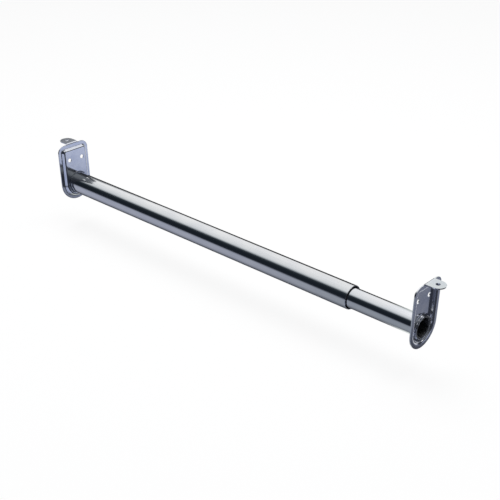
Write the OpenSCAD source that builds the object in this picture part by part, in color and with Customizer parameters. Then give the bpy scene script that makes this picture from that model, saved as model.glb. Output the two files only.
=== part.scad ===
// Telescoping hanging bar with two screw-on end flanges.
// +X runs along the bar, +Z is up, and the origin is where the bar's axis
// meets the seat plane of the left flange. The outer tube and the left flange
// are at the origin's end, the inner tube and the right flange at the +X end.

/* [Bar] */
// Length as set, from one flange's seat plane to the other's
set_length = 510; // [434:1:760]
// Length of each tube, flared end to cut end
tube_len = 426.7; // [424:0.1:427]
// Outside diameter of the outer tube
outer_d = 25.4; // [25:0.1:25.6]
// Wall thickness of the outer tube
outer_wall = 1; // [0.8:0.1:1.1]
// Outside diameter of the inner tube
inner_d = 21.4; // [20.8:0.1:21.6]
// Wall thickness of the inner tube
inner_wall = 1; // [0.8:0.1:1.1]

/* [Flange pressing] */
// Thickness of the flange sheet
sheet = 1.2; // [1:0.1:1.3]
// Width of the flange, which is twice the radius of its round end
flange_w = 43.6; // [43.4:0.1:46]
// Height of the flange's top edge above the bar's axis
flange_top = 48.4; // [46:0.1:52]
// Radius of the two top corners
corner_r = 8.8; // [8.4:0.1:11]
// Width of the flat rim that sits on the wall
rim_w = 3.7; // [3:0.1:3.8]
// Length of the straight part of the sloped wall between the rim and the panel
wall_len = 1.55; // [1.3:0.05:1.75]
// Inside radius of the pressed bends
bend_r = 1; // [0.8:0.1:1.1]

/* [Neck] */
// Radius at which the panel starts to roll into the neck
neck_root_r = 14.2; // [14:0.1:14.3]
// Distance of the neck's end from the seat plane
neck_end = 1.3; // [1.2:0.1:1.4]

/* [Screw holes] */
// Diameter of the two screw holes in each panel
screw_d = 4.8; // [4:0.1:5.4]
// Distance between the two screw holes
screw_pitch = 18.4; // [14:0.1:20]
// Height of the screw holes above the bar's axis
screw_z = 30.4; // [26:0.1:33]

/* [Tab] */
// Width of the tab
tab_w = 16; // [12:0.1:18]
// Reach of the tab behind the seat plane
tab_reach = 17; // [14:0.1:20]
// Height of the tab's top face above the flange's top edge
tab_rise = 1.3; // [1.2:0.1:1.6]
// Inside radius of the tab's bend
tab_bend_r = 0.6; // [0.4:0.1:0.9]
// Diameter of the tab's hole
tab_hole_d = 4.6; // [3.6:0.1:5]
// Width of the bend reliefs beside the tab
relief = 0.8; // [0.6:0.1:1]

/* [Guide sleeve] */
// Length of the split guide sleeve
sleeve_len = 22; // [15:1:30]
// Width of the sleeve's split
sleeve_split = 2.4; // [1:0.1:4]
// Running clearance between the sleeve and each tube
sleeve_run = 0.05; // [0.03:0.01:0.08]
// Half width of each rolled bead that holds the sleeve
bead_half_w = 2; // [1.8:0.1:2.4]

/* [Hidden] */
$fn = 96;

cut_over = 1;      // how far a cutter runs past each face it cuts

// Tubes
outer_r = outer_d / 2;
inner_r = inner_d / 2;
bore_r = outer_r - outer_wall;            // bore of the outer tube
tube_straight = tube_len - outer_wall;    // from the neck's end to the cut end
inner_start = set_length - neck_end - tube_straight;  // inner tube's cut end

// Pressing
half_w = flange_w / 2;
slope = [0.28, 0.96];                     // wall's run and rise, 7 : 24 : 25
slope_normal = [slope[1], slope[0]];      // square to the wall
// Depth of the pressing, from the seat plane to the face of its panel
flange_depth = 2 * (sheet + bend_r) - (2 * bend_r + sheet) * slope[0]
               + wall_len * slope[1];
panel_back = flange_depth - sheet;        // panel's face towards the seat plane
// Distance from the outline to the panel's flat
panel_in = rim_w + (2 * bend_r + sheet) * slope[1] + wall_len * slope[0];

// Tab
tab_under = flange_top + tab_rise - sheet;  // underside of the folded part
tab_fold = tab_under - tab_bend_r;          // where the tab's bend starts
tab_root = flange_top - rim_w + 1;          // upright part starts on the rim
relief_start = tab_fold - 0.3;

// Beads on the inner tube, and the sleeve held between them
bead_inset = 6;          // from the inner tube's cut end to the first bead
bead_clearance = 0.15;   // from a bead's crest to the outer tube's bore
sleeve_gap = 0.25;       // between each bead and the sleeve's end
bead_h = bore_r - inner_r - bead_clearance;
bead_arc_r = (pow(bead_h, 2) + pow(bead_half_w, 2)) / (2 * bead_h);
bead_arc_x = inner_r + bead_h - bead_arc_r;   // distance of arc centre from axis
first_bead = inner_start + bead_inset;
sleeve_x = first_bead + bead_half_w + sleeve_gap;
beads = [first_bead, sleeve_x + sleeve_len + sleeve_gap + bead_half_w];

// Turns a solid made about local Z so that its axis lies along the bar
module along_bar() {
    rotate([0, 90, 0]) children();
}

// Turns a part made for the left end to face it from the right end
module at_right_end() {
    translate([set_length, 0, 0]) mirror([1, 0, 0]) children();
}

// Extrudes a section along Y, centred; its x becomes Z and its y becomes X
module across(width) {
    translate([0, -width / 2, 0]) rotate([0, -90, -90])
        linear_extrude(height = width) children();
}

// Cutter for a round hole from z = 0 to z = depth
module hole(radius, depth) {
    translate([0, 0, -cut_over])
        cylinder(r = radius, h = depth + 2 * cut_over);
}

// Part of a bent sheet, seen in section: the sector of a ring that lies
// between the directions "from" and "to"
module bend(inside_r, thick, from, to) {
    mask = 8;   // reaches past the largest bend
    intersection() {
        difference() {
            circle(r = inside_r + thick);
            if (inside_r > 0) circle(r = inside_r);
        }
        polygon([[0, 0], mask * from, mask * (from + to), mask * to]);
    }
}

// Section of the pressed edge. x is the distance from the middle and y is the
// height above the seat plane.
module edge_section(outline_x) {
    rim_bend = [-rim_w, sheet + bend_r];
    panel_bend = [-panel_in, panel_back - bend_r];
    near = bend_r * slope_normal;
    far = (bend_r + sheet) * slope_normal;
    translate([outline_x, 0]) {
        translate([-rim_w, 0]) square([rim_w, sheet]);
        translate(rim_bend) bend(bend_r, sheet, -slope_normal, [0, -1]);
        polygon([rim_bend - near, rim_bend - far,
                 panel_bend + near, panel_bend + far]);
        translate(panel_bend) bend(bend_r, sheet, slope_normal, [0, 1]);
    }
}

// Pressed edge with the panel's flat, which starts at x = panel_x
module edge_and_panel(outline_x, panel_x) {
    edge_section(outline_x);
    translate([panel_x, panel_back])
        square([outline_x - panel_in - panel_x, sheet]);
}

// Straight sides of the pressing with the panel between them
module sides() {
    rotate([0, 0, -90]) linear_extrude(height = flange_top - corner_r) {
        edge_and_panel(half_w, panel_in - half_w);
        mirror([1, 0]) edge_section(half_w);
    }
}

// Straight top edge, between the two top corners
module top_edge() {
    across(2 * (half_w - corner_r))
        edge_and_panel(flange_top, flange_top - corner_r);
}

// One top corner: side is 1 towards +Y and -1 towards -Y
module corner(side) {
    translate([0, side * (half_w - corner_r), flange_top - corner_r])
        along_bar() rotate([0, 0, side > 0 ? 90 : 180])
            rotate_extrude(angle = 90) edge_and_panel(corner_r, 0);
}

// Half-round lower end, about the bar's axis
module round_end() {
    along_bar() rotate([0, 0, -90])
        rotate_extrude(angle = 180) edge_and_panel(half_w, neck_root_r);
}

// Neck drawn from the panel towards the seat plane, around a tube
module neck(tube_r) {
    roll = neck_root_r - tube_r;   // outside radius of the rolled bend
    roll_start = flange_depth - roll;
    along_bar() rotate_extrude() {
        translate([neck_root_r, roll_start])
            bend(roll - sheet, sheet, [0, 1], [-1, 0]);
        translate([tube_r, neck_end]) square([sheet, roll_start - neck_end]);
    }
}

// Tab folded back over the top edge, with its round end and its hole
module tab() {
    end_x = tab_w / 2 - tab_reach;   // centre of the round end
    across(tab_w) {
        translate([tab_fold, -tab_bend_r])
            bend(tab_bend_r, sheet, [1, 0], [0, 1]);
        translate([tab_root, 0]) square([tab_fold - tab_root, sheet]);
    }
    difference() {
        translate([0, 0, tab_under]) linear_extrude(height = sheet) {
            translate([end_x, -tab_w / 2])
                square([-end_x - tab_bend_r, tab_w]);
            translate([end_x, 0]) circle(d = tab_w);
        }
        translate([end_x, 0, tab_under]) hole(tab_hole_d / 2, sheet);
    }
}

// Flange seated on the plane x = 0, for a tube of radius tube_r
module flange(tube_r) {
    difference() {
        union() {
            sides();
            top_edge();
            for (side = [1, -1]) corner(side);
        }
        // Room for the neck
        along_bar() hole(neck_root_r, flange_depth);
        // Screw holes
        for (side = [-1, 1])
            translate([panel_back, side * screw_pitch / 2, screw_z])
                along_bar() hole(screw_d / 2, sheet);
        // Bend reliefs, open at the top edge
        for (y = [-tab_w / 2 - relief, tab_w / 2])
            translate([-cut_over, y, relief_start])
                cube([sheet + 2 * cut_over, relief, flange_top]);
    }
    round_end();
    neck(tube_r);
    tab();
}

// Section of a tube's straight wall, from the neck's end to the cut end
module wall_section(tube_r, wall) {
    translate([tube_r - wall, neck_end]) square([wall, tube_straight]);
}

// Section of a tube's end, flared over the end of the neck
module flare_section(tube_r, wall) {
    translate([tube_r, neck_end]) bend(0, wall, [-1, 0], [0, -1]);
    translate([tube_r, neck_end - wall]) square([sheet, wall]);
}

// Inner tube's wall with two rolled beads, hollow from the inside
module beaded_wall_section() {
    difference() {
        union() {
            wall_section(inner_r, inner_wall);
            for (bead = beads) intersection() {
                translate([bead_arc_x, set_length - bead])
                    circle(r = bead_arc_r);
                // Keeps the part of the disc from mid-wall outwards
                translate([inner_r - inner_wall / 2,
                           set_length - bead - bead_arc_r])
                    square([2 * bead_arc_r, 2 * bead_arc_r]);
            }
        }
        for (bead = beads)
            translate([bead_arc_x, set_length - bead])
                circle(r = bead_arc_r - inner_wall);
    }
}

module outer_tube() {
    color([0.72, 0.73, 0.77])
    along_bar() rotate_extrude() {
        wall_section(outer_r, outer_wall);
        flare_section(outer_r, outer_wall);
    }
}

module left_flange() {
    color([0.66, 0.7, 0.8]) flange(outer_r);
}

// The inner tube is drawn from its own flared end, at the right flange
module inner_tube() {
    color([0.7, 0.71, 0.75])
    at_right_end() along_bar() rotate_extrude() {
        beaded_wall_section();
        flare_section(inner_r, inner_wall);
    }
}

module right_flange() {
    color([0.55, 0.56, 0.66]) at_right_end() flange(inner_r);
}

// Sleeve that fills the gap between the tubes, split along its underside
module guide_sleeve() {
    color([0.92, 0.92, 0.9])
    translate([sleeve_x, 0, 0]) difference() {
        along_bar() difference() {
            cylinder(r = bore_r - sleeve_run, h = sleeve_len);
            hole(inner_r + sleeve_run, sleeve_len);
        }
        translate([-cut_over, -sleeve_split / 2, -bore_r - cut_over])
            cube([sleeve_len + 2 * cut_over, sleeve_split, bore_r]);
    }
}

outer_tube();
left_flange();
inner_tube();
right_flange();
guide_sleeve();
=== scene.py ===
import math

import bmesh
import bpy
from mathutils import Matrix, Vector
from mathutils.geometry import delaunay_2d_cdt


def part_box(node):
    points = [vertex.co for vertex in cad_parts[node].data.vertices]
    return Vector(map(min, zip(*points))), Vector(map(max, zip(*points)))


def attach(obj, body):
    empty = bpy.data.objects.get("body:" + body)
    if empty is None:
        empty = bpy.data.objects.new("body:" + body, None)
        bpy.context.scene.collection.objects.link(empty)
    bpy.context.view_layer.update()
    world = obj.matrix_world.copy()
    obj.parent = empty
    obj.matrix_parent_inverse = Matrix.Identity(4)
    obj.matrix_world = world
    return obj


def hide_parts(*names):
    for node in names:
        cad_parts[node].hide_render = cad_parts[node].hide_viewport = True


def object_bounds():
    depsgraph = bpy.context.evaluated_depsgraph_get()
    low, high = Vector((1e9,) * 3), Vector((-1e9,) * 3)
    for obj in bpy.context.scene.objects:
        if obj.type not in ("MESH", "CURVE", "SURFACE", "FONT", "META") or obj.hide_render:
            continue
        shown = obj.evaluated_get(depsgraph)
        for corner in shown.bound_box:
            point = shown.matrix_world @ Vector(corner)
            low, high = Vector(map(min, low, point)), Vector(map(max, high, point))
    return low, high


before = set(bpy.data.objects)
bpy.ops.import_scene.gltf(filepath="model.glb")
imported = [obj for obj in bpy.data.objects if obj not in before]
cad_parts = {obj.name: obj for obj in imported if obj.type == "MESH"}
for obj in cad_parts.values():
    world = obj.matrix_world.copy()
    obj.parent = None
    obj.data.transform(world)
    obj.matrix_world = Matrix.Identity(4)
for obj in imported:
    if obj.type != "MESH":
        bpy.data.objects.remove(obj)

CAD_LO, CAD_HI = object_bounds()
MM = 0.001
TAU = 2 * math.pi

# ------------------------------------------------------------------ sizes
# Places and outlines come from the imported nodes. Thicknesses and radii that a
# box can't give are the design's own.
OUT_LO, OUT_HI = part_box("outer_tube")
INN_LO, INN_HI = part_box("inner_tube")
LF_LO, LF_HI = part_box("left_flange")
RF_LO, RF_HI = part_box("right_flange")
SL_LO, SL_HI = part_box("guide_sleeve")

SHEET = 1.2 * MM
BEND_R = 1.0 * MM
HALF_W = LF_HI.y
TAB_TOP = LF_HI.z
TOP_Z = TAB_TOP - 1.3 * MM
CORNER = 8.8 * MM
RIM = 3.7 * MM
ROOT_R = 14.2 * MM
NECK_END = 1.3 * MM
DEPTH = LF_HI.x
TAB_W = 16 * MM
TAB_BEND = 0.6 * MM
TAB_REACH = -LF_LO.x
TAB_HOLE = 2.3 * MM
RELIEF = 0.8 * MM
SCREW_R = 2.4 * MM
SCREW_Y = 9.2 * MM
SCREW_Z = 30.4 * MM
WALL_T = 1.0 * MM
OUTER_R = OUT_HI.z - SHEET
INNER_R = INN_HI.z - SHEET
RIGHT_SEAT = RF_HI.x - TAB_REACH
SLOPE = math.degrees(math.atan2(0.96, 0.28))      # wall's angle, 7 : 24 : 25


# ------------------------------------------------------------- mesh helpers
def add_piece(bm, node, body, slot, *materials):
    me = bpy.data.meshes.new(node + "_shell")
    bmesh.ops.recalc_face_normals(bm, faces=bm.faces)
    bm.to_mesh(me)
    bm.free()
    for p in me.polygons:
        p.use_smooth = True
    for m in materials:
        me.materials.append(m)
    ob = bpy.data.objects.new(node + "_shell", me)
    bpy.context.scene.collection.objects.link(ob)
    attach(ob, body)
    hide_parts(node)
    return ob


def even_normals(ob):
    m = ob.modifiers.new("normals", "WEIGHTED_NORMAL")
    m.mode = "FACE_AREA"
    m.weight = 70
    m.keep_sharp = True


def arc(cx, cy, r, a0, a1, n):
    return [(cx + r * math.cos(math.radians(a0 + (a1 - a0) * i / n)),
             cy + r * math.sin(math.radians(a0 + (a1 - a0) * i / n)))
            for i in range(n + 1)]


def between(p, q, step):
    n = max(1, int(math.ceil(math.dist(p, q) / step)))
    return [(p[0] + (q[0] - p[0]) * i / n, p[1] + (q[1] - p[1]) * i / n)
            for i in range(1, n)]


def tidy(points):
    out = []
    for p in points:
        if not out or math.dist(p, out[-1]) > 2e-6:
            out.append(p)
    if math.dist(out[0], out[-1]) <= 2e-6:
        out.pop()
    return out


# -------------------------------------------------------------------- tubes
def tube_section(r_out, cut, beads):
    """(x, r) round the wall of a tube whose flared end sits at the seat plane
    x = 0 and whose cut end is at x = cut. Beads are (x, height, half width)."""
    r_in = r_out - WALL_T
    lip, lip_in, step = 0.28 * MM, 0.2 * MM, 9 * MM
    pts = [(NECK_END, r_out)]
    x = NECK_END
    for bx, bh, hw in beads:
        c = (bh * bh + hw * hw) / (2 * bh)
        half = math.degrees(math.asin(hw / c))
        pts += between((x, r_out), (bx - hw, r_out), step)
        pts += arc(bx, r_out + bh - c, c, 90 + half, 90 - half, 12)
        x = bx + hw
    pts += between((x, r_out), (cut - lip, r_out), step)
    pts += arc(cut - lip, r_out - lip, lip, 90, 0, 5)
    pts += arc(cut - lip_in, r_in + lip_in, lip_in, 0, -90, 4)
    x = cut - lip_in
    for bx, bh, hw in reversed(beads):
        c = (bh * bh + hw * hw) / (2 * bh)
        cy, ci = r_out + bh - c, c - WALL_T
        half = math.degrees(math.acos((r_in - cy) / ci))
        xh = ci * math.sin(math.radians(half))
        pts += between((x, r_in), (bx + xh, r_in), step)
        pts += arc(bx, cy, ci, 90 - half, 90 + half, 12)
        x = bx - xh
    pts += between((x, r_in), (NECK_END, r_in), step)
    pts += arc(NECK_END, r_out, WALL_T, -90, -180, 9)
    e = 0.25 * MM
    pts += arc(NECK_END - WALL_T + e, r_out + SHEET - e, e, 180, 90, 4)
    pts += [(NECK_END, r_out + SHEET)]
    return tidy(pts)


def tube(node, body, slot, r_out, cut, mirrored, beads, plated, painted_shade_bore, seg=144):
    section = tube_section(r_out, cut, beads)
    bm = bmesh.new()
    rings = []
    for i in range(seg):
        a = TAU * i / seg
        rings.append([bm.verts.new((RIGHT_SEAT - x if mirrored else x,
                                    r * math.sin(a), r * math.cos(a)))
                      for x, r in section])
    cut_face, flare_face = r_out - 0.7 * MM, r_out + SHEET - 0.4 * MM
    n = len(section)
    for i in range(seg):
        p, q = rings[i], rings[(i + 1) % seg]
        for j in range(n):
            k = (j + 1) % n
            f = bm.faces.new((p[j], p[k], q[k], q[j]))
            r_mid = (section[j][1] + section[k][1]) / 2
            x_mid = (section[j][0] + section[k][0]) / 2
            # the bore's near black material, painted shade, also covers the bore where it
            # is flared and faces outwards
            f.material_index = int(
                (r_mid < cut_face and x_mid > NECK_END)
                or (r_mid < flare_face and x_mid < NECK_END - 1e-6))
    ob = add_piece(bm, node, body, slot, plated, painted_shade_bore)
    even_normals(ob)
    return ob


# ------------------------------------------------------------------ flanges
def fill(bm, loop, holes, flat):
    """Fills the flat region inside loop and outside holes, all lists of
    vertices. flat(v) gives a vertex's two coordinates in the plane."""
    verts = list(loop)
    edges = [(i, (i + 1) % len(loop)) for i in range(len(loop))]
    for h in holes:
        b = len(verts)
        verts += h
        edges += [(b + i, b + (i + 1) % len(h)) for i in range(len(h))]
    co = [Vector(flat(v)) * 1000 for v in verts]
    _, _, tris, orig, _, _ = delaunay_2d_cdt(co, edges, [], 0, 1e-6, True)

    def inside(p, ring):
        hit = False
        for i in range(len(ring)):
            a, b = ring[i], ring[(i + 1) % len(ring)]
            if (a.y > p.y) != (b.y > p.y):
                if p.x < a.x + (p.y - a.y) * (b.x - a.x) / (b.y - a.y):
                    hit = not hit
        return hit

    outer_ring = co[:len(loop)]
    hole_rings, b = [], len(loop)
    for h in holes:
        hole_rings.append(co[b:b + len(h)])
        b += len(h)
    for t in tris:
        idx = [orig[i][0] for i in t]
        c = (co[idx[0]] + co[idx[1]] + co[idx[2]]) / 3
        if inside(c, outer_ring) and not any(inside(c, h) for h in hole_rings):
            bm.faces.new([verts[i] for i in idx])


def flange(node, body, slot, r_tube, mirrored, plated):
    """The pressing as one sheet: its middle surface is laid out here, then
    given the sheet's thickness and broken edges."""
    t = SHEET / 2
    bm = bmesh.new()

    def put(h, y, z):
        return bm.verts.new((RIGHT_SEAT - h if mirrored else h, y, z))

    # rows across the pressed edge: (distance in from the outline, height)
    n_bend = 8
    c1 = (RIM, SHEET + BEND_R)
    panel_in = RIM + (2 * BEND_R + SHEET) * 0.96 + 1.55 * MM * 0.28
    c2 = (panel_in, DEPTH - SHEET - BEND_R)
    m = BEND_R + t
    rows = [(0, t), (RELIEF, t), (2.3 * MM, t)]
    for i in range(n_bend + 1):
        a = math.radians(SLOPE * i / n_bend)
        rows.append((c1[0] + m * math.sin(a), c1[1] - m * math.cos(a)))
    for i in range(n_bend + 1):
        a = math.radians(SLOPE * (1 - i / n_bend))
        rows.append((c2[0] - m * math.sin(a), c2[1] + m * math.cos(a)))

    # stations round the outline: (point, outward direction)
    cy, cz = HALF_W - CORNER, TOP_Z - CORNER
    ys = [13.0, 11.6, 10.2, 8.8, 8.0, 6.0, 4.0, 2.0]
    ys = [y * MM for y in ys]
    ys[0] = cy
    ys = ys + [0.0] + [-y for y in reversed(ys)]
    stations = [((y, TOP_Z), (0, 1)) for y in ys]
    n_corner, n_side, n_low = 20, 14, 56
    for i in range(1, n_corner + 1):
        a = math.radians(90 + 90 * i / n_corner)
        d = (math.cos(a), math.sin(a))
        stations.append(((-cy + CORNER * d[0], cz + CORNER * d[1]), d))
    for i in range(1, n_side):
        stations.append(((-HALF_W, cz * (1 - i / n_side)), (-1, 0)))
    low_start = len(stations)
    for i in range(n_low + 1):
        a = math.radians(180 + 180 * i / n_low)
        d = (math.cos(a), math.sin(a))
        stations.append(((HALF_W * d[0], HALF_W * d[1]), d))
    low_end = len(stations) - 1
    for i in range(1, n_side):
        stations.append(((HALF_W, cz * i / n_side), (1, 0)))
    for i in range(0, n_corner):
        a = math.radians(90 * i / n_corner)
        d = (math.cos(a), math.sin(a))
        stations.append(((cy + CORNER * d[0], cz + CORNER * d[1]), d))

    half_tab, gap = TAB_W / 2, RELIEF
    grid = []
    for (py, pz), (ny, nz) in stations:
        on_tab = nz == 1 and abs(py) < half_tab + 1e-6
        col = []
        for j, (a, h) in enumerate(rows):
            if j == 0 and on_tab:
                col.append(None)
            else:
                col.append(put(h, py - a * ny, pz - a * nz))
        grid.append(col)
    n_st = len(stations)
    for i in range(n_st):
        p, q = grid[i], grid[(i + 1) % n_st]
        for j in range(len(rows) - 1):
            if p[j] is None or q[j] is None:
                continue
            bm.faces.new((p[j], q[j], q[j + 1], p[j + 1]))

    # neck: rows from the panel round the roll and down to the neck's end
    roll = ROOT_R - r_tube
    mr = roll - t
    neck_rows = []
    n_roll = 9
    for i in range(n_roll + 1):
        a = math.radians(90 * i / n_roll)
        neck_rows.append((ROOT_R - mr * math.sin(a),
                          DEPTH - roll + mr * math.cos(a)))
    drop = DEPTH - roll - NECK_END
    for i in range(1, 4):
        neck_rows.append((r_tube + t, DEPTH - roll - drop * i / 3))
    n_round = 2 * n_low
    neck = []
    for i in range(n_round):
        a = math.radians(180 + 360 * i / n_round)
        neck.append([put(h, r * math.cos(a), r * math.sin(a))
                     for r, h in neck_rows])
    for i in range(n_round):
        p, q = neck[i], neck[(i + 1) % n_round]
        for j in range(len(neck_rows) - 1):
            bm.faces.new((p[j], q[j], q[j + 1], p[j + 1]))

    # panel: a narrow band below the bar, then the field with the screw holes
    ring = [c[-1] for c in grid]
    root = [c[0] for c in neck]
    for i in range(n_low):
        bm.faces.new((ring[low_start + i], ring[low_start + i + 1],
                      root[i + 1], root[i]))
    field = []
    k = low_end
    while True:
        field.append(ring[k % n_st])
        if k % n_st == low_start:
            break
        k += 1
    upper = [root[i % n_round] for i in range(n_round, n_low - 1, -1)]
    loop = field + upper
    holes = []
    for s in (-1, 1):
        holes.append([put(DEPTH - t,
                          s * SCREW_Y + SCREW_R * math.cos(TAU * i / 32),
                          SCREW_Z + SCREW_R * math.sin(TAU * i / 32))
                      for i in range(32)])
    fill(bm, loop, holes, lambda v: (v.co.y, v.co.z))

    # tab: up from the rim, back through its bend, then flat to its round end
    tab_cols = [i for i, ((py, pz), (ny, nz)) in enumerate(stations)
                if nz == 1 and abs(py) < half_tab + 1e-6]
    fold = TAB_TOP - SHEET - TAB_BEND
    tm = TAB_BEND + t
    tab_rows = []
    for i in range(10):
        a = math.radians(90 * i / 9)
        tab_rows.append((-TAB_BEND + tm * math.cos(a), fold + tm * math.sin(a)))
    strip = []
    for i in tab_cols:
        y = stations[i][0][0]
        strip.append([grid[i][1]] + [put(h, y, z) for h, z in tab_rows])
    for i in range(len(strip) - 1):
        p, q = strip[i], strip[i + 1]
        for j in range(len(tab_rows)):
            bm.faces.new((p[j], q[j], q[j + 1], p[j + 1]))
    end_x = -(TAB_REACH - half_tab)
    z = TAB_TOP - t
    loop = [c[-1] for c in strip]                  # from +y to -y
    for i in range(1, 4):
        loop.append(put(-TAB_BEND + (end_x + TAB_BEND) * i / 4, -half_tab, z))
    for i in range(41):
        a = math.radians(270 - 180 * i / 40)
        loop.append(put(end_x + half_tab * math.cos(a),
                        half_tab * math.sin(a), z))
    for i in range(3, 0, -1):
        loop.append(put(-TAB_BEND + (end_x + TAB_BEND) * i / 4, half_tab, z))
    hole = [put(end_x + TAB_HOLE * math.cos(TAU * i / 32),
                TAB_HOLE * math.sin(TAU * i / 32), z) for i in range(32)]
    fill(bm, loop, [hole], lambda v: (v.co.x, v.co.y))

    ob = add_piece(bm, node, body, slot, plated)
    s = ob.modifiers.new("sheet", "SOLIDIFY")
    s.thickness = SHEET
    s.offset = 0
    s.use_even_offset = True
    s.use_quality_normals = True
    b = ob.modifiers.new("edges", "BEVEL")
    b.width = 0.16 * MM
    b.segments = 3
    b.limit_method = "ANGLE"
    b.angle_limit = math.radians(50)
    b.harden_normals = False
    even_normals(ob)
    return ob


# ------------------------------------------------------------------- sleeve
def sleeve(node, body, slot, material):
    """Split ring whose slot, below the bar, has parallel sides."""
    r0, r1 = INNER_R + 0.05 * MM, OUTER_R - WALL_T - 0.05 * MM
    half = 1.2 * MM
    lo, hi = SL_LO.x, SL_HI.x
    bm = bmesh.new()
    nx = 8
    section = ([(lo + (hi - lo) * i / nx, r0) for i in range(nx + 1)]
               + [(hi - (hi - lo) * i / nx, r1) for i in range(nx + 1)])
    seg = 120
    cols = []
    for i in range(seg + 1):
        f = i / seg
        col = []
        for x, r in section:
            g = math.asin(half / r)
            a = -math.pi / 2 + g + (TAU - 2 * g) * f
            col.append(bm.verts.new((x, r * math.cos(a), r * math.sin(a))))
        cols.append(col)
    n = len(section)
    for i in range(seg):
        for j in range(n):
            k = (j + 1) % n
            bm.faces.new((cols[i][j], cols[i][k], cols[i + 1][k],
                          cols[i + 1][j]))
    for col in (cols[0], cols[-1]):
        for j in range(nx):
            bm.faces.new((col[j], col[j + 1], col[n - 2 - j], col[n - 1 - j]))
    ob = add_piece(bm, node, body, slot, material)
    b = ob.modifiers.new("edges", "BEVEL")
    b.width = 0.15 * MM
    b.segments = 2
    b.limit_method = "ANGLE"
    b.angle_limit = math.radians(50)
    even_normals(ob)
    return ob


# ---------------------------------------------------------------- materials
class Nodes:
    """Short way to write a node tree."""

    def __init__(self, tree):
        self.tree = tree
        tree.nodes.clear()

    def add(self, kind, **props):
        n = self.tree.nodes.new(kind)
        for k, v in props.items():
            setattr(n, k, v)
        return n

    def link(self, a, b):
        self.tree.links.new(a, b)

    def math(self, op, a, b=None, clamp=False):
        n = self.add("ShaderNodeMath", operation=op, use_clamp=clamp)
        for i, v in enumerate((a, b)):
            if v is None:
                continue
            if isinstance(v, (int, float)):
                n.inputs[i].default_value = v
            else:
                self.link(v, n.inputs[i])
        return n.outputs[0]

    def noise(self, vector, scale, size=1.0, detail=4.0, rough=0.55,
              distortion=0.0):
        m = self.add("ShaderNodeMapping")
        m.inputs["Scale"].default_value = scale
        self.link(vector, m.inputs["Vector"])
        n = self.add("ShaderNodeTexNoise")
        n.inputs["Scale"].default_value = size
        n.inputs["Detail"].default_value = detail
        n.inputs["Roughness"].default_value = rough
        n.inputs["Distortion"].default_value = distortion
        self.link(m.outputs[0], n.inputs["Vector"])
        return n.outputs["Fac"]

    def range(self, value, a, b, c, d, smooth=False):
        n = self.add("ShaderNodeMapRange", clamp=True)
        if smooth:
            n.interpolation_type = "SMOOTHSTEP"
        self.link(value, n.inputs["Value"])
        for k, v in zip(("From Min", "From Max", "To Min", "To Max"),
                        (a, b, c, d)):
            n.inputs[k].default_value = v
        return n.outputs["Result"]

    def mix(self, fac, a, b, blend="MIX"):
        n = self.add("ShaderNodeMix", data_type="RGBA", blend_type=blend)
        n.clamp_factor = True
        if isinstance(fac, (int, float)):
            n.inputs[0].default_value = fac
        else:
            self.link(fac, n.inputs[0])
        for i, v in ((6, a), (7, b)):
            if isinstance(v, (tuple, list)):
                n.inputs[i].default_value = tuple(v) + (1,) * (4 - len(v))
            else:
                self.link(v, n.inputs[i])
        return n.outputs[2]

    def ramp(self, fac, stops):
        n = self.add("ShaderNodeValToRGB")
        r = n.color_ramp
        while len(r.elements) > 1:
            r.elements.remove(r.elements[0])
        r.elements[0].position = stops[0][0]
        r.elements[0].color = tuple(stops[0][1]) + (1,)
        for p, c in stops[1:]:
            e = r.elements.new(p)
            e.color = tuple(c) + (1,)
        self.link(fac, n.inputs[0])
        return n.outputs[0]


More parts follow.
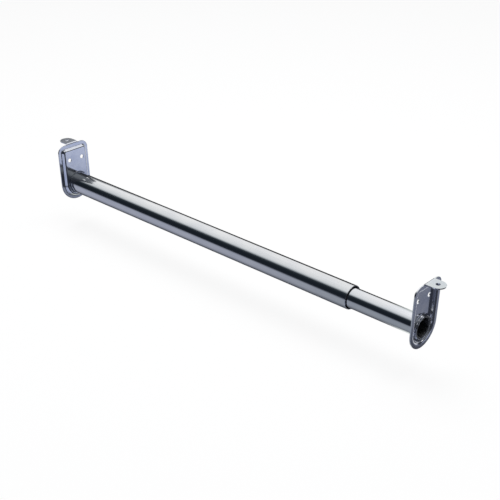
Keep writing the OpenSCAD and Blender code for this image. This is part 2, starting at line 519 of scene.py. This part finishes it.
def plated_steel(name, light, cool, rough, draw, wave, soft=0.0):
    """Bright plated steel. draw is the strength of the lines left by drawing
    or rolling along the bar, and wave that of the gentle waviness a pressing
    has. soft adds a satin haze."""
    mat = bpy.data.materials.new(name)
    mat.use_nodes = True
    n = Nodes(mat.node_tree)
    co = n.add("ShaderNodeTexCoord").outputs["Object"]
    lines = n.noise(co, (7, 1500, 1500), detail=5, rough=0.65)
    fine = n.noise(co, (26, 5200, 5200), detail=3, rough=0.6)
    cloud = n.noise(co, (38, 70, 70), detail=4, rough=0.5, distortion=0.4)
    grain = n.noise(co, (6500, 6500, 6500), detail=2, rough=0.5)
    scratch = n.range(n.noise(co, (18, 2300, 2300), detail=2, rough=0.4),
                      0.66, 0.72, 0, 1)
    # colour: a little drift between warmer and cooler plating, darker lines
    base = n.mix(n.range(cloud, 0.35, 0.65, 0, 1, True), light, cool)
    base = n.mix(n.range(lines, 0.35, 0.7, 0, 0.30 * draw), base,
                 tuple(c * 0.72 for c in cool))
    base = n.mix(n.range(fine, 0.4, 0.7, 0, 0.16 * draw), base,
                 tuple(c * 0.66 for c in cool))
    # worn edges: the bevel node's normal leaves the true one at a corner
    geo = n.add("ShaderNodeNewGeometry")
    bev = n.add("ShaderNodeBevel", samples=4)
    bev.inputs["Radius"].default_value = 0.35 * MM
    dot = n.add("ShaderNodeVectorMath", operation="DOT_PRODUCT")
    n.link(bev.outputs[0], dot.inputs[0])
    n.link(geo.outputs["Normal"], dot.inputs[1])
    edge = n.range(dot.outputs["Value"], 0.99, 0.90, 0, 1)
    edge = n.math("MULTIPLY", edge, n.range(cloud, 0.3, 0.6, 0.35, 1))
    base = n.mix(n.math("MULTIPLY", edge, 0.5), base, (0.62, 0.61, 0.60))
    # roughness
    r = n.math("ADD", rough + soft, n.math("MULTIPLY", n.math(
        "SUBTRACT", lines, 0.5), 0.16 * draw))
    r = n.math("ADD", r, n.math("MULTIPLY", n.math("SUBTRACT", cloud, 0.5),
                                0.10))
    r = n.math("ADD", r, n.math("MULTIPLY", scratch, 0.10))
    r = n.math("ADD", r, n.math("MULTIPLY", edge, 0.12), clamp=True)
    # relief
    h = n.math("ADD", n.math("MULTIPLY", lines, 1.0 * draw),
               n.math("MULTIPLY", fine, 0.35 * draw))
    h = n.math("ADD", h, n.math("MULTIPLY", grain, 0.25))
    h = n.math("SUBTRACT", h, n.math("MULTIPLY", scratch, 0.5))
    b1 = n.add("ShaderNodeBump")
    b1.inputs["Strength"].default_value = 0.35
    b1.inputs["Distance"].default_value = 0.010 * MM
    n.link(h, b1.inputs["Height"])
    b2 = n.add("ShaderNodeBump")
    b2.inputs["Strength"].default_value = 0.5 * wave
    b2.inputs["Distance"].default_value = 0.35 * MM
    n.link(n.noise(co, (60, 85, 85), detail=1, rough=0.3), b2.inputs["Height"])
    n.link(b1.outputs[0], b2.inputs["Normal"])
    p = n.add("ShaderNodeBsdfPrincipled")
    p.inputs["Metallic"].default_value = 1.0
    n.link(base, p.inputs["Base Color"])
    n.link(r, p.inputs["Roughness"])
    n.link(b2.outputs[0], p.inputs["Normal"])
    out = n.add("ShaderNodeOutputMaterial")
    n.link(p.outputs[0], out.inputs[0])
    return mat


def bore_steel_painted_shade(name):
    """The inside of a tube, with scale and lengthwise marks, on a near black colour that
    is painted shade inside the bore.
    """
    mat = bpy.data.materials.new(name)
    mat.use_nodes = True
    n = Nodes(mat.node_tree)
    co = n.add("ShaderNodeTexCoord").outputs["Object"]
    lines = n.noise(co, (12, 900, 900), detail=4, rough=0.6)
    scale = n.noise(co, (160, 260, 260), detail=5, rough=0.6)
    # painted shade: the bore's colour is kept near black for the shade inside the tube;
    # scale and lengthwise marks vary it
    base = n.mix(n.range(scale, 0.35, 0.65, 0, 1), (0.10, 0.105, 0.11),
                 (0.20, 0.20, 0.20))
    base = n.mix(n.range(lines, 0.55, 0.75, 0, 0.4), base, (0.30, 0.295, 0.29))
    r = n.range(scale, 0.3, 0.7, 0.42, 0.62)
    b = n.add("ShaderNodeBump")
    b.inputs["Strength"].default_value = 0.4
    b.inputs["Distance"].default_value = 0.03 * MM
    n.link(n.math("ADD", lines, scale), b.inputs["Height"])
    p = n.add("ShaderNodeBsdfPrincipled")
    p.inputs["Metallic"].default_value = 0.85
    n.link(base, p.inputs["Base Color"])
    n.link(r, p.inputs["Roughness"])
    n.link(b.outputs[0], p.inputs["Normal"])
    out = n.add("ShaderNodeOutputMaterial")
    n.link(p.outputs[0], out.inputs[0])
    return mat


def nylon(name):
    mat = bpy.data.materials.new(name)
    mat.use_nodes = True
    n = Nodes(mat.node_tree)
    co = n.add("ShaderNodeTexCoord").outputs["Object"]
    flow = n.noise(co, (300, 420, 420), detail=4, rough=0.6, distortion=0.6)
    grain = n.noise(co, (5200, 5200, 5200), detail=2)
    rub = n.noise(co, (60, 2100, 2100), detail=3)
    base = n.mix(n.range(flow, 0.3, 0.7, 0, 1), (0.80, 0.79, 0.74),
                 (0.72, 0.71, 0.66))
    base = n.mix(n.range(rub, 0.58, 0.75, 0, 0.35), base, (0.5, 0.49, 0.46))
    b = n.add("ShaderNodeBump")
    b.inputs["Strength"].default_value = 0.3
    b.inputs["Distance"].default_value = 0.02 * MM
    n.link(n.math("ADD", grain, rub), b.inputs["Height"])
    p = n.add("ShaderNodeBsdfPrincipled")
    p.inputs["Subsurface Weight"].default_value = 0.15
    p.inputs["Subsurface Radius"].default_value = (0.002, 0.002, 0.0018)
    n.link(base, p.inputs["Base Color"])
    n.link(n.range(flow, 0.3, 0.7, 0.42, 0.55), p.inputs["Roughness"])
    n.link(b.outputs[0], p.inputs["Normal"])
    out = n.add("ShaderNodeOutputMaterial")
    n.link(p.outputs[0], out.inputs[0])
    return mat


outer_steel = plated_steel("outer_tube_plating", (0.80, 0.81, 0.82),
                           (0.745, 0.76, 0.785), 0.11, 1.0, 0.10)
inner_steel = plated_steel("inner_tube_plating", (0.79, 0.80, 0.82),
                           (0.74, 0.76, 0.795), 0.09, 0.8, 0.10)
flange_steel = plated_steel("flange_plating", (0.78, 0.79, 0.815),
                            (0.72, 0.745, 0.81), 0.13, 0.04, 0.10, 0.0)
# the bore material's near black colour is painted shade inside the tubes
bore_painted_shade = bore_steel_painted_shade("tube_bore_painted_shade")
sleeve_nylon = nylon("sleeve_nylon")

# ------------------------------------------------------------------- pieces
bead_h = (OUTER_R - WALL_T) - INNER_R - 0.15 * MM
bead_hw = 2.0 * MM
bead_gap = 0.25 * MM
beads = [(RIGHT_SEAT - (SL_HI.x + bead_gap + bead_hw), bead_h, bead_hw),
         (RIGHT_SEAT - (SL_LO.x - bead_gap - bead_hw), bead_h, bead_hw)]

tube("outer_tube", "fixed_end", "outer_tube_steel", OUTER_R, OUT_HI.x, False,
     [], outer_steel, bore_painted_shade)
tube("inner_tube", "sliding_end", "inner_tube_steel", INNER_R,
     RIGHT_SEAT - INN_LO.x, True, beads, inner_steel, bore_painted_shade)
flange("left_flange", "fixed_end", "flange_steel", OUTER_R, False,
       flange_steel)
flange("right_flange", "sliding_end", "flange_steel", INNER_R, True,
       flange_steel)
sleeve("guide_sleeve", "sleeve", "sleeve_plastic", sleeve_nylon)


# -------------------------------------------------------------------- stage
PLATING = (0.77, 0.785, 0.81)


def srgb(r, g, b):
    """A reflected colour, as sRGB 0-255, to the light that the plating turns
    into it, over the world's strength."""
    out = []
    for v, over in zip((r, g, b), PLATING):
        v /= 255
        v = v / 12.92 if v <= 0.04045 else ((v + 0.055) / 1.055) ** 2.4
        out.append(min(1.0, v / over / 1.25))
    return tuple(out)


def deg(a):
    """Angle round the bar's axis, 0 behind and 90 overhead, to 0..1 from
    straight down."""
    return ((a + 90) % 360) / 360


# Long strip lights and cards parallel to the bar: on the -X side the light
# depends mostly on the angle round the bar's axis.
BAND = [
    (0.000, srgb(106, 110, 121)),
    (0.040, srgb(78, 82, 92)),
    (0.090, srgb(50, 53, 60)),
    (0.160, srgb(38, 40, 44)),
    (0.250, srgb(42, 44, 46)),
    (0.262, srgb(231, 233, 236)),
    (0.420, srgb(229, 231, 234)),
    (0.510, srgb(219, 222, 226)),
    (0.565, srgb(208, 212, 216)),
    (0.595, srgb(168, 174, 180)),
    (0.615, srgb(84, 91, 97)),
    (0.632, srgb(36, 43, 50)),
    (0.680, srgb(24, 30, 37)),
    (0.748, srgb(24, 29, 37)),
    (0.768, srgb(58, 63, 73)),
    (0.788, srgb(136, 141, 154)),
    (0.820, srgb(148, 153, 166)),
    (0.920, srgb(147, 151, 164)),
    (0.965, srgb(129, 133, 145)),
    (1.000, srgb(106, 110, 121)),
]
# The +X side is the dim end of the studio.
DIM = [
    (0.0, srgb(50, 53, 60)),
    (deg(30), srgb(46, 48, 54)),
    (deg(54), srgb(58, 61, 66)),
    (deg(66), srgb(112, 116, 121)),
    (deg(100), srgb(106, 110, 115)),
    (deg(118), srgb(80, 84, 90)),
    (deg(130), srgb(56, 59, 64)),
    (deg(170), srgb(38, 41, 48)),
    (deg(215), srgb(46, 50, 62)),
    (1.0, srgb(50, 53, 60)),
]

world = bpy.data.worlds.new("studio")
bpy.context.scene.world = world
world.use_nodes = True
n = Nodes(world.node_tree)
direction = n.add("ShaderNodeTexCoord").outputs["Generated"]
sep = n.add("ShaderNodeSeparateXYZ")
n.link(direction, sep.inputs[0])
dx, dy, dz = sep.outputs
turn = n.math("ARCTAN2", dy, n.math("MULTIPLY", dz, -1))
turn = n.math("FRACT", n.math("ADD", n.math("MULTIPLY", turn, 1 / TAU), 1))
band = n.ramp(turn, BAND)
# the dark horizon behind reaches higher towards -X
horizon = n.range(dx, -0.745, -0.665, deg(41), deg(20), True)
above = n.range(n.math("SUBTRACT", turn, horizon), -0.014, 0.014, 0, 1, True)
behind = n.math("MULTIPLY", n.math("SUBTRACT", 1, above),
                n.range(turn, 0.14, 0.20, 0, 1))
dull = n.mix(n.range(turn, deg(14), deg(23), 0, 1), srgb(46, 48, 50),
             srgb(114, 117, 122))
band = n.mix(behind, band, dull)
# the light on the low front is brighter and bluer towards -X
front = n.range(turn, 0.75, 0.80, 0, 1)
low = n.math("MULTIPLY", front, n.range(dx, -0.74, -0.50, 1, 0))
band = n.mix(low, band, n.mix(1.0, band, (1.10, 1.11, 1.17), "MULTIPLY"))
low = n.math("MULTIPLY", front, n.range(dx, -0.60, -0.44, 0, 1))
band = n.mix(low, band, n.mix(1.0, band, (0.78, 0.82, 0.80), "MULTIPLY"))
low = n.math("MULTIPLY", front, n.range(dx, -0.40, -0.15, 0, 1))
band = n.mix(low, band, srgb(172, 181, 208))
# overhead and towards the front, a dark flag comes nearer
flag = n.math("MULTIPLY", n.range(dx, -0.44, -0.31, 0, 1, True),
              n.range(turn, 0.535, 0.575, 0, 1, True))
flag = n.math("MULTIPLY", flag, n.range(turn, 0.74, 0.77, 1, 0))
band = n.mix(flag, band, srgb(26, 30, 46))
# overhead is brightest past the middle, and a little less so low behind
high = n.math("MULTIPLY", n.range(dx, -0.47, -0.40, 0, 1, True),
              n.ramp(turn, [(deg(40), (0, 0, 0)), (deg(46), (1, 1, 1)),
                            (deg(95), (1, 1, 1)), (deg(105), (0, 0, 0))]))
band = n.mix(high, band, srgb(250, 252, 262))
high = n.math("MULTIPLY", n.range(dx, -0.46, -0.435, 0, 1, True),
              n.ramp(turn, [(deg(20), (1, 1, 1)), (deg(36), (1, 1, 1)),
                            (deg(41), (0, 0, 0))]))
band = n.mix(high, band, srgb(208, 214, 214))
# straight above and behind the light falls off, so that the bar keeps an
# outline when it is seen square on
high = n.math("MULTIPLY", n.ramp(n.range(dx, -0.5, 0.5, 0, 1), [
    (0.26, (0, 0, 0)), (0.40, (1, 1, 1)), (0.68, (1, 1, 1)),
    (0.76, (0, 0, 0))]), n.ramp(turn, [
        (deg(2), (1, 1, 1)), (deg(95), (1, 1, 1)), (deg(110), (0, 0, 0))]))
high = n.math("MULTIPLY", high, n.range(turn, 0.22, 0.25, 0, 1))
band = n.mix(high, band, n.ramp(turn, [(deg(0), srgb(120, 124, 130)),
                                       (deg(30), srgb(176, 181, 188)),
                                       (deg(80), srgb(206, 211, 217)),
                                       (deg(110), srgb(190, 195, 201))]))
# low in front: nothing but a dark corner further down
gap = n.ramp(n.range(dx, -0.5, 0.5, 0, 1),
             [(0.38, (0, 0, 0)), (0.47, (1, 1, 1)), (1.0, (1, 1, 1))])
gap = n.math("MULTIPLY", gap, n.range(turn, 0.77, 0.79, 0, 1))
gap = n.math("MULTIPLY", gap, n.range(dz, -0.415, -0.455, 0, 1, True))
gap = n.math("MULTIPLY", gap, n.range(dz, -0.62, -0.56, 0, 1, True))
band = n.mix(gap, band, srgb(52, 57, 71))
# the dim end, which starts further along overhead and low in front
dim = n.ramp(turn, DIM)
late = n.ramp(turn, [(deg(41), (0, 0, 0)), (deg(46), (1, 1, 1)),
                     (deg(57), (1, 1, 1)), (deg(63), (0, 0, 0)),
                     (deg(188), (0, 0, 0)), (deg(200), (0.8, 0.8, 0.8)),
                     (0.99, (0.8, 0.8, 0.8)), (1.0, (0, 0, 0))])
start = n.math("SUBTRACT", dx, n.math("MULTIPLY", late, 0.36))
early = n.ramp(turn, [(deg(-20), (0, 0, 0)), (deg(-10), (1, 1, 1)),
                      (deg(39), (1, 1, 1)), (deg(46), (0, 0, 0))])
start = n.math("ADD", start, n.math("MULTIPLY", early, 0.42))
band = n.mix(n.range(start, 0.12, 0.30, 0, 1, True), band, dim)
# a pale card low behind on the +X side, which the flanges' faces look at
card = n.ramp(n.range(dx, 0.0, 0.80, 0, 1), [
    (0.00, srgb(236, 239, 242)),
    (0.28, srgb(232, 236, 242)),
    (0.37, srgb(108, 112, 127)),
    (0.50, srgb(113, 118, 134)),
    (0.56, srgb(117, 122, 138)),
    (0.61, srgb(56, 60, 70)),
    (0.80, srgb(58, 62, 74)),
    (0.87, srgb(170, 179, 204)),
    (1.00, srgb(178, 187, 212)),
])
on_card = n.math("MULTIPLY", n.range(dx, -0.42, -0.30, 0, 1, True),
                 n.range(dz, 0.10, -0.06, 0, 1, True))
on_card = n.math("MULTIPLY", on_card, n.range(dy, 0.30, 0.44, 0, 1, True))
low_edge = n.math("SUBTRACT", turn, n.range(dx, 0.26, 0.34,
                                            deg(-60), deg(-35.45)))
on_card = n.math("MULTIPLY", on_card,
                 n.range(low_edge, -0.0025, 0.0025, 0, 1, True))
light = n.mix(on_card, band, card)
studio = n.add("ShaderNodeBackground")
studio.inputs["Strength"].default_value = 1.25
n.link(light, studio.inputs["Color"])
backdrop = n.add("ShaderNodeBackground")
backdrop.inputs["Color"].default_value = (1, 1, 1, 1)
backdrop.inputs["Strength"].default_value = 1.0
path = n.add("ShaderNodeLightPath")
pick = n.add("ShaderNodeMixShader")
n.link(path.outputs["Is Camera Ray"], pick.inputs[0])
n.link(studio.outputs[0], pick.inputs[1])
n.link(backdrop.outputs[0], pick.inputs[2])
out = n.add("ShaderNodeOutputWorld")
n.link(pick.outputs[0], out.inputs[0])

# the floor lies below everything, clear of a flange that is turned over
floor_z = -(math.hypot(CAD_HI.z, TAB_W / 2) + 1 * MM)
bm = bmesh.new()
size = 4.0
cx = (CAD_LO.x + CAD_HI.x) / 2
vs = [bm.verts.new((cx + x * size, y * size, floor_z))
      for x, y in ((-1, -1), (1, -1), (1, 1), (-1, 1))]
bm.faces.new(vs)
me = bpy.data.meshes.new("floor")
bm.to_mesh(me)
bm.free()
floor = bpy.data.objects.new("floor", me)
bpy.context.scene.collection.objects.link(floor)
mat = bpy.data.materials.new("floor_paper")
mat.use_nodes = True
n = Nodes(mat.node_tree)
co = n.add("ShaderNodeTexCoord").outputs["Object"]
paper = n.add("ShaderNodeBsdfDiffuse")
n.link(n.mix(n.range(n.noise(co, (900, 900, 900)), 0.3, 0.7, 0, 1),
             (0.86, 0.86, 0.87), (0.89, 0.89, 0.90)), paper.inputs["Color"])
glow = n.add("ShaderNodeEmission")
glow.inputs["Color"].default_value = (1, 1, 1, 1)
glow.inputs["Strength"].default_value = 0.98
lit = n.add("ShaderNodeMixShader")
lit.inputs[0].default_value = 0.10
n.link(glow.outputs[0], lit.inputs[1])
n.link(paper.outputs[0], lit.inputs[2])
clear = n.add("ShaderNodeBsdfTransparent")
geo = n.add("ShaderNodeNewGeometry")
away = n.add("ShaderNodeVectorMath")
away.operation = "LENGTH"
n.link(co, away.inputs[0])
fade = n.range(away.outputs["Value"], 1.2, 3.6, 0, 1, True)
side = n.add("ShaderNodeMixShader")
n.link(n.math("MAXIMUM", geo.outputs["Backfacing"], fade), side.inputs[0])
n.link(lit.outputs[0], side.inputs[1])
n.link(clear.outputs[0], side.inputs[2])
out = n.add("ShaderNodeOutputMaterial")
n.link(side.outputs[0], out.inputs[0])
me.materials.append(mat)
floor.visible_glossy = False
floor.visible_diffuse = False

lamp = bpy.data.lights.new("overhead", "AREA")
lamp.shape = "RECTANGLE"
lamp.size, lamp.size_y = 1.6, 1.2
lamp.energy = 30
lamp.color = (1.0, 0.99, 0.98)
lamp_ob = bpy.data.objects.new("overhead", lamp)
lamp_ob.location = (cx - 0.1, 0.25, 1.5)
lamp_ob.rotation_euler = (
    Vector((cx, 0, 0)) - Vector(lamp_ob.location)).to_track_quat(
        "-Z", "Y").to_euler()
lamp_ob.visible_glossy = False
lamp_ob.visible_camera = False
bpy.context.scene.collection.objects.link(lamp_ob)

# ------------------------------------------------------------------- camera
AZ, EL, ROLL = math.radians(131.329), math.radians(-34.146), math.radians(0.592)
FOCAL = 923.5                                  # in pixels of a 500 wide frame
CENTRE_X, CENTRE_Y = 259.62, 364.71            # where the optical axis lands
fw = Vector((math.cos(EL) * math.cos(AZ), math.cos(EL) * math.sin(AZ),
             math.sin(EL)))
right = fw.cross(Vector((0, 0, 1))).normalized()
up = right.cross(fw).normalized()
r2 = math.cos(ROLL) * right + math.sin(ROLL) * up
u2 = -math.sin(ROLL) * right + math.cos(ROLL) * up
cam = bpy.data.cameras.new("camera")
cam.sensor_width = 36
cam.lens = FOCAL * 36 / 500
cam.clip_start, cam.clip_end = 0.05, 30
cam_ob = bpy.data.objects.new("camera", cam)
m = Matrix((r2, u2, -fw)).transposed().to_4x4()
m.translation = Vector((0.87584 + DEPTH, -0.65364, 0.45518))
cam_ob.matrix_world = m
bpy.context.scene.collection.objects.link(cam_ob)
bpy.context.scene.camera = cam_ob


place = bpy.data.objects.new("camera_place", None)
place.location = m.translation
place.hide_render = True
bpy.context.scene.collection.objects.link(place)


def shift_here(prop, amount):
    """Lens shift that holds only while the camera stands at its place, so
    that a view from anywhere else is centred."""
    curve = cam.driver_add(prop)
    curve.driver.type = "AVERAGE"
    var = curve.driver.variables.new()
    var.type = "LOC_DIFF"
    var.targets[0].id = cam_ob
    var.targets[1].id = place
    for mod in list(curve.modifiers):
        curve.modifiers.remove(mod)
    while curve.keyframe_points:
        curve.keyframe_points.remove(curve.keyframe_points[0], fast=True)
    for away, value in ((0, amount), (0.02, amount), (0.04, 0), (1, 0)):
        k = curve.keyframe_points.insert(away, value)
        k.interpolation = "LINEAR"
    curve.extrapolation = "CONSTANT"


shift_here("shift_x", (250 - CENTRE_X) / 500)
shift_here("shift_y", (CENTRE_Y - 250) / 500)

view = bpy.context.scene.view_settings
view.view_transform = "Standard"
view.look = "None"
view.exposure = 0
view.gamma = 1
